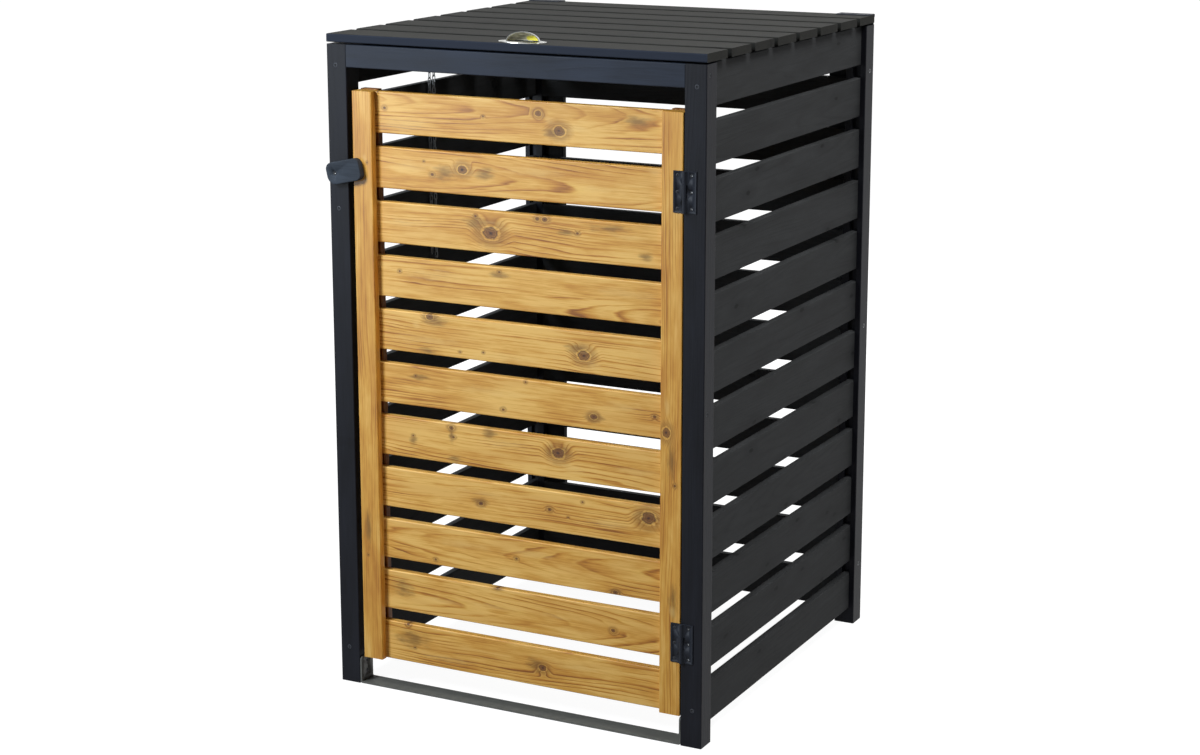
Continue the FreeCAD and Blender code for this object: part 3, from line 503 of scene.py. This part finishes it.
STILES = {
    "left": (
        4.6, (-44, -30, 0.006),
        ((380, 9, 1.4), (-310, -6, 1.4)),
        ((-262, -4, 46, 8),),
        ((385, 4, 10, 6),)),
    "right": (
        4.8, (36, -34, 0.008),
        ((-20, -8, 6.5), (-107, 8, 2.0)),
        ((-66, 2, 40, 9), (-302, 6, 34, 10)),
        ((-320, 4, 12, 7), (20, -6, 26, 6))),
}
STILE_GRAIN = 0.6
STILE_DARK = 0.09
for number, (side, (ring, pith, knots, smudges, pales_and_sheen)) in enumerate(STILES.items(), 13):
    stile = "door_stile_" + side
    cut = (ring, pith, knots, smudges, pales_and_sheen)
    dress(stile, honey("stained_" + stile, *lie_of(stile), number, *cut, STILE_GRAIN, STILE_DARK))

# Door battens
# A batten of the same spruce stands behind each end of the slats, so that stile and batten clamp the
# slats between them. Both battens are the darkest: partly a darker stain, partly painted shade from
# the slats in front.

BATTEN_RING = 4.4
BATTEN_PITH = (30, -36, 0.01)
BATTEN_KNOTS = ((210, 3, 3),)
# How much darker the battens are: darker stain and painted shade.
BATTEN_STAIN_AND_SHADE = 0.22
for number, side in enumerate(("left", "right"), 16):
    batten = "door_batten_" + side
    cut = (BATTEN_RING, BATTEN_PITH, BATTEN_KNOTS)
    dress(batten, honey("stained_" + batten, *lie_of(batten), number, *cut, dark=BATTEN_STAIN_AND_SHADE))

# Door hinges
# Two butt hinges of painted steel, one leaf screwed to the stile and one to the post. The leaves are
# pressed plate; the knuckles are curled from the same plate round a pin.


def worn_steel(name, base, metal, rough, spread=0.1, gloss_level=0.2, patch=9.0):
    """Steel with a coat: slight mottling, fine scratches and handling marks."""
    finish, tree, gloss = bench(name)
    spot = step(tree, "VectorMath", (step(tree, "TexCoord", out="Object"), (1000,) * 3), operation="MULTIPLY")
    cloud = mottle(tree, spot, (patch,) * 3, 3.0)
    lines = mottle(tree, spot, (6, 0.45, 0.6), 2.0)
    grit = mottle(tree, spot, (0.6, 0.6, 0.6), 1.0)
    tone = calc(tree, "MULTIPLY_ADD", cloud, 0.45, calc(tree, "MULTIPLY", grit, 0.2))
    tone = calc(tree, "MULTIPLY_ADD", lines, 0.35, tone)
    colour = shade(tree, tone, (0.3, [c * (1 - spread) for c in base]), (0.5, base),
                   (0.72, [min(255, c * (1 + spread)) for c in base]))
    tree.links.new(colour, gloss.inputs["Base Color"])
    gloss.inputs["Metallic"].default_value = metal
    gloss.inputs["Specular IOR Level"].default_value = gloss_level
    tree.links.new(calc(tree, "MULTIPLY_ADD", tone, 0.3, rough - 0.15), gloss.inputs["Roughness"])
    bump = step(tree, "Bump", {"Strength": 0.3, "Distance": 0.0001, "Height": tone})
    tree.links.new(bump, gloss.inputs["Normal"])
    return finish


SAME_CORNER = 0.00001


def fair(node, body, finish, angle=38):
    """A fair copy of a small turned or pressed piece: its facets joined and its curves smooth."""
    bpy.ops.object.select_all(action="DESELECT")
    rough_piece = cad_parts[node]
    rough_piece.select_set(True)
    bpy.context.view_layer.objects.active = rough_piece
    bpy.ops.object.duplicate()
    piece = bpy.context.view_layer.objects.active
    piece.parent = None
    piece.name = node + "_fair"
    for key in [k for k in piece.keys() if k.startswith("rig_")]:
        del piece[key]
    bpy.ops.object.mode_set(mode="EDIT")
    bpy.ops.mesh.select_all(action="SELECT")
    bpy.ops.mesh.remove_doubles(threshold=SAME_CORNER)
    bpy.ops.object.mode_set(mode="OBJECT")
    bpy.ops.object.shade_smooth_by_angle(angle=math.radians(angle))
    for place in piece.material_slots:
        place.material = finish
    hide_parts(node)
    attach(piece, body)
    return piece


hinge_steel = worn_steel("painted_hinge_steel", (33, 36, 43), 0.0, 0.5, 0.06, 0.1)
for level in ("upper", "lower"):
    fair("door_hinge_%s_leaf_door" % level, "door", hinge_steel)
    fair("door_hinge_%s_leaf_post" % level, "cabinet", hinge_steel)
fair("door_hinge_pins", "cabinet", hinge_steel)

# Door hinge screws
# Three countersunk screws a leaf. Those in the post have bright zinc in their crosses, a painted glint;
# those in the stile are dark all over.


def each_screw(piece):
    """Goes through a piece's screws: the faces of one, its long axis, its middle and its radius."""
    mesh = bmesh.new()
    mesh.from_mesh(piece.data)
    mesh.faces.ensure_lookup_table()
    left = set(mesh.faces)
    while left:
        screw, edge_of_it = set(), [left.pop()]
        while edge_of_it:
            face = edge_of_it.pop()
            screw.add(face)
            for edge in face.edges:
                fresh = [other for other in edge.link_faces if other in left]
                left.difference_update(fresh)
                edge_of_it.extend(fresh)
        corners = [corner.co for face in screw for corner in face.verts]
        low = [min(c[axis] for c in corners) for axis in range(3)]
        high = [max(c[axis] for c in corners) for axis in range(3)]
        size = [h - l for h, l in zip(high, low)]
        long_axis = size.index(max(size))
        yield mesh, screw, long_axis, [(h + l) / 2 for h, l in zip(high, low)], sorted(size)[1] / 2
    mesh.to_mesh(piece.data)
    mesh.free()


EDGE_FROM = 0.9
RIM_FROM = 0.72
CROSS_WITHIN = 0.62
CROSS_DEPTH = (0.0002, 0.003)


def mark_heads(piece, rim=None, cross=None, where=lambda axis, middle: True):
    """Gives the rims and the crosses of the screws' heads finishes of their own."""
    seats = {}
    for part, finish in (("rim", rim), ("cross", cross)):
        if finish:
            piece.data.materials.append(finish)
            seats[part] = len(piece.data.materials) - 1
    for mesh, screw, axis, middle, radius in each_screw(piece):
        if not where("XYZ"[axis], middle):
            continue
        flat = [place for place in range(3) if place != axis]
        edge_of_head = []
        for face in screw:
            spot = face.calc_center_median()
            off = math.hypot(*[spot[place] - middle[place] for place in flat])
            if off > EDGE_FROM * radius:
                edge_of_head.append(spot[axis])
        head = sum(edge_of_head) / len(edge_of_head)
        out = 1 if head > middle[axis] else -1
        for face in screw:
            spot = face.calc_center_median()
            off = math.hypot(*[spot[place] - middle[place] for place in flat])
            facing = face.normal[axis] * out > 0.5
            if "rim" in seats and facing and off > RIM_FROM * radius:
                face.material_index = seats["rim"]
            deep = (head - spot[axis]) * out
            sunk = CROSS_DEPTH[0] < deep < CROSS_DEPTH[1]
            if "cross" in seats and off < CROSS_WITHIN * radius and sunk:
                face.material_index = seats["cross"]


dark_screw = worn_steel("dark_screw_steel", (27, 29, 34), 0.0, 0.5)
# Bright zinc for some screws' crosses and rims: a painted glint.
zinc_glint = worn_steel("zinc_glint", (196, 198, 200), 0.6, 0.4)
fair("door_hinge_screws_door", "door", dark_screw)
mark_heads(fair("door_hinge_screws_post", "cabinet", dark_screw), cross=zinc_glint)

# Lid hinges
# Two hinges of the same painted steel plate at the rear corners, one leaf screwed to the lid and one
# down the rear of the frame.

fair("lid_hinge_leaves_lid", "lid", hinge_steel)
fair("lid_hinge_leaves_frame", "cabinet", hinge_steel)
fair("lid_hinge_pins", "cabinet", hinge_steel)
fair("lid_hinge_screws_lid", "lid", dark_screw)
fair("lid_hinge_screws_frame", "cabinet", dark_screw)

# Frame screws
# Dark screws through the posts into the side boards' ends, the front rail and the rear laths. Those in
# front have a lighter rim, a painted highlight; those in the rear posts' sides have bright zinc at rim and
# cross, a painted glint.

# A lighter rim on the front screws: painted highlight.
painted_rim_highlight = worn_steel("painted_screw_rim_highlight", (60, 63, 69), 0.2, 0.5)
frame_screws = fair("frame_screws", "cabinet", dark_screw)
mark_heads(frame_screws, rim=painted_rim_highlight, where=lambda axis, middle: middle[1] < 0)
mark_heads(frame_screws, zinc_glint, zinc_glint, lambda axis, middle: middle[1] > 0 and axis == "X")

# Turn button
# A rounded block of the same softwood on one screw near its outer end, turned by hand to hold the
# door shut; its anthracite paint is paler than the post's.

button_paint = anthracite("painted_latch_button", *lie_of("latch_button"), 41, (50, 55, 62), spots=0.0)
fair("latch_button", "latch", button_paint)
# Bright zinc in the latch screw's cross: a painted glint.
mark_heads(fair("latch_screw", "cabinet", dark_screw), cross=zinc_glint)

# Strip in the doorway
# A flat galvanised strip on the floor between the front posts, its ends turned up and screwed to them.
# It has gone dull and grey with wear.

zinc = worn_steel("galvanised_strip", (88, 88, 83), 0.0, 0.5, 0.08, 0.3, 22.0)
fair("threshold_strip", "cabinet", zinc)
fair("threshold_screws", "cabinet", dark_screw)

# Cup pull
# A half-round cup of pressed stainless steel on the front lid board, held by two small screws.
# Its rim is ground, its lining duller than the plate, with a yellow patch on it: a painted reflection.

polished = worn_steel("polished_stainless", (196, 196, 192), 1.0, 0.24, 0.04)
ground = worn_steel("ground_rim", (92, 91, 86), 0.3, 0.55, 0.1)
CUP_SETBACK = 0.022
PLATE_THICK = 0.0012
MOUTH_PLAY = 0.0003
LINING_PLACE = 1
RIM_PLACE = 2
# Where the lining's yellow patch, a painted reflection, lies and how big it is, in millimetres.
YELLOW_REFLECTION_RIGHT = 10.5
YELLOW_REFLECTION_UP = 4.6
YELLOW_REFLECTION_WIDE = 15.0
YELLOW_REFLECTION_TALL = 5.4
low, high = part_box("cup_pull")
cup_middle = ((low.x + high.x) / 2, low.y + CUP_SETBACK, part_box("lid_board_1")[1].z)
lining, tree, gloss = bench("cup_lining")
spot = step(tree, "VectorMath", (step(tree, "TexCoord", out="Object"), (1000,) * 3), operation="MULTIPLY")
right = -(1000 * cup_middle[0] + YELLOW_REFLECTION_RIGHT) / YELLOW_REFLECTION_WIDE
up = -(1000 * cup_middle[2] + YELLOW_REFLECTION_UP) / YELLOW_REFLECTION_TALL
scale = (1 / YELLOW_REFLECTION_WIDE, 0, 1 / YELLOW_REFLECTION_TALL)
away = step(tree, "VectorMath", (spot, scale, (right, 0, up)), operation="MULTIPLY_ADD")
away = step(tree, "VectorMath", (away,), out="Value", operation="LENGTH")
cloud = mottle(tree, spot, (9, 9, 5), 3.0)
dull = shade(tree, cloud, (0.3, (168, 162, 136)), (0.5, (212, 206, 178)), (0.7, (240, 236, 214)))
# The yellow patch on the lining: painted reflection.
yellow_reflection = ease(tree, calc(tree, "MULTIPLY_ADD", cloud, 0.4, away), 1.25, 0.95)
tree.links.new(tint(tree, yellow_reflection, dull, card(255, 240, 84)), gloss.inputs["Base Color"])
gloss.inputs["Metallic"].default_value = 0.1
gloss.inputs["Roughness"].default_value = 0.5
bump = step(tree, "Bump", {"Strength": 0.3, "Distance": 0.0002, "Height": cloud})
tree.links.new(bump, gloss.inputs["Normal"])
cup = fair("cup_pull", "lid", polished)
for finish in (lining, ground):
    cup.data.materials.append(finish)
mesh = bmesh.new()
mesh.from_mesh(cup.data)
for face in mesh.faces:
    spot = face.calc_center_median()
    inward = sum(face.normal[axis] * (cup_middle[axis] - spot[axis]) for axis in range(3))
    above = spot.z > cup_middle[2] + 1.1 * PLATE_THICK
    at_mouth = face.normal.y < -0.95 and abs(spot.y - cup_middle[1]) < MOUTH_PLAY
    if above and inward > 0:
        face.material_index = LINING_PLACE
    if above and at_mouth:
        face.material_index = RIM_PLACE
mesh.to_mesh(cup.data)
mesh.free()
fair("cup_pull_screws", "lid", polished)

# Lid chain
# A light zinc-plated chain from a screw eye in the wall to one in the lid batten; it hangs in a narrow
# U when the lid is shut and stops the lid when it stands open.

chain_zinc = worn_steel("zinc_chain_wire", (118, 120, 122), 0.9, 0.38)
fair("wall_eye", "cabinet", chain_zinc)
fair("lid_eye", "lid", chain_zinc)
fair("chain_wall_half", "chain_wall", chain_zinc)
fair("chain_lid_half", "chain_lid", chain_zinc)

# Floor and light
# A plain white studio floor, a cool soft lamp close by at the front left, a softer one at the right,
# a faint one above and one behind. A screen at the left shows in the gloss alone.

bpy.ops.object.select_all(action="DESELECT")
FLOOR_SIDE = 30
bpy.ops.mesh.primitive_plane_add(size=FLOOR_SIDE, location=(0, 0, 0))
floor = bpy.context.view_layer.objects.active
floor.name = "studio_floor"
white, tree, gloss = bench("white_floor")
gloss.inputs["Base Color"].default_value = (0.12, 0.12, 0.12, 1)
gloss.inputs["Roughness"].default_value = 0.9
gloss.inputs["Specular IOR Level"].default_value = 0.1


def seen_itself(tree):
    """1 where the camera sees the surface, or sees it in gloss or through glass, else 0."""
    seen = step(tree, "LightPath").node.outputs
    direct = calc(tree, "MAXIMUM", seen["Is Camera Ray"], seen["Is Glossy Ray"])
    return calc(tree, "MAXIMUM", direct, seen["Is Transmission Ray"])


NEAR_GLOW = 0.95
FAR_GLOW = 1.0
GLOW_TURNS = (0.9, 2.2)
away = step(tree, "VectorMath", (step(tree, "TexCoord", out="Object"),), out="Value", operation="LENGTH")
glow_level = calc(tree, "MULTIPLY", seen_itself(tree), ease(tree, away, *GLOW_TURNS, NEAR_GLOW, FAR_GLOW))
glow = step(tree, "Emission", {"Color": (1, 1, 1, 1), "Strength": glow_level})
lit = step(tree, "AddShader", (gloss.outputs[0], glow))
tree.links.new(lit, tree.nodes["Material Output"].inputs["Surface"])
floor.data.materials.append(white)

SKY_FILL = 0.035
sky = bpy.data.worlds.new("white_studio")
bpy.context.scene.world = sky
sky.use_nodes = True
tree = sky.node_tree
back = tree.nodes["Background"]
back.inputs["Color"].default_value = (1, 1, 1, 1)
tree.links.new(ease(tree, seen_itself(tree), 0.0, 1.0, SKY_FILL, 1.0), back.inputs["Strength"])


def lamp(name, place, toward, size, power, colour=(1, 1, 1)):
    """A soft square lamp at a place, facing a point."""
    bulb = bpy.data.lights.new(name, "AREA")
    bulb.shape, bulb.size, bulb.energy, bulb.color = "SQUARE", size, power, colour
    stand = bpy.data.objects.new(name, bulb)
    bpy.context.scene.collection.objects.link(stand)
    stand.location = place
    aim = [t - p for t, p in zip(toward, place)]
    flat = math.hypot(aim[0], aim[1])
    stand.rotation_euler = (math.atan2(flat, -aim[2]), 0, math.atan2(-aim[0], aim[1]))
    stand.visible_camera = False
    return stand


COOL = (0.84, 0.92, 1.0)
lamp("front_left_lamp", (-1.4, -2.5, 2.4), (0, 0, 0.8), 0.9, 118, COOL)
lamp("right_lamp", (2.0, -0.4, 3.8), (0.3, 0, 0.6), 1.2, 122)
lamp("top_lamp", (0.2, 0.4, 4.4), (0, 0.1, 1.1), 1.6, 2)
behind = lamp("back_lamp", (-0.6, 3.4, 2.4), (0, 0.36, 0.6), 1.4, 150)
behind.visible_glossy = False
screen = lamp("left_screen", (-2.3, -3.3, 1.1), (-0.3, -0.3, 1.0), 1.1, 110, COOL)
screen.visible_diffuse = False

# Camera
# It stands to the right of the door, above the lid, and looks down at the store with a long lens, which
# is moved down a little to keep the posts nearly upright.

eye = bpy.data.cameras.new("eye")
eye.sensor_fit = "HORIZONTAL"
eye.sensor_width = 36.0
eye.lens = 72.268
eye.shift_y = -0.05
stand = bpy.data.objects.new("camera", eye)
stand.location = (1.8972, -3.7366, 1.5469)
stand.rotation_euler = [math.radians(turn) for turn in (77.547, 0.036, 27.151)]
bpy.context.scene.collection.objects.link(stand)
bpy.context.scene.camera = stand
bpy.context.scene.view_settings.view_transform = "Standard"
